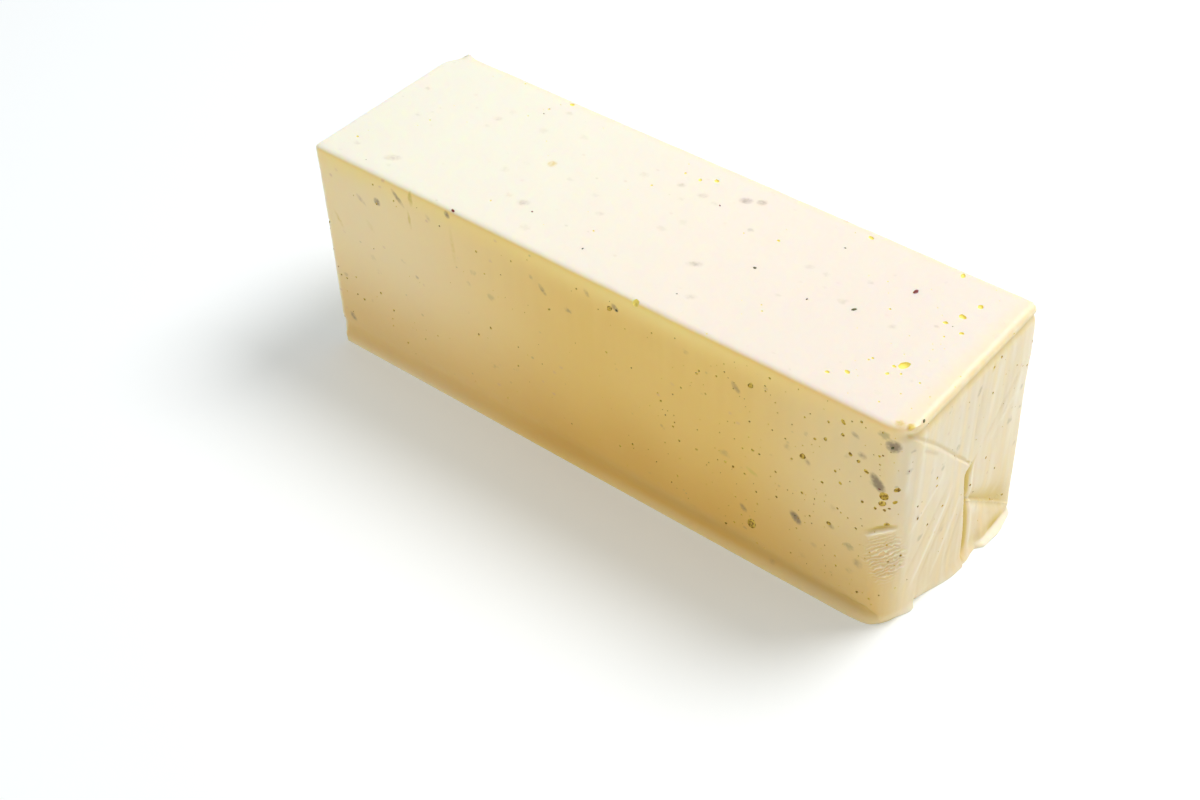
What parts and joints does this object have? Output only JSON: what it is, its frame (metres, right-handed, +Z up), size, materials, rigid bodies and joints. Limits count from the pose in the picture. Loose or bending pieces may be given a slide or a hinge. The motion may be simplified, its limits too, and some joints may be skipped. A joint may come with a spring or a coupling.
{
  "type": "pepper cheese loaf",
  "caption": "Long rectangular loaf of soft white cheese with jalapeno and pepper bits, cut square at one end, with parcel folds pressed into the other.",
  "frame": {"origin": "under the middle of the loaf, on the surface it lies on", "axes": "+X along the loaf to the end with the folds, -Y to the front long side, +Z up"},
  "size_m": [0.2728, 0.0846, 0.0986],
  "materials": {
    "cheese": "soft satin cream cheese, slightly translucent, with air pits",
    "green_pepper": "moist flecks of dark green jalapeno skin",
    "red_pepper": "moist flecks of red pepper",
    "orange_pepper": "moist flecks of orange pepper"
  },
  "bodies": {
    "root": {"cheese_loaf": "cheese"}
  },
  "joints": []
}
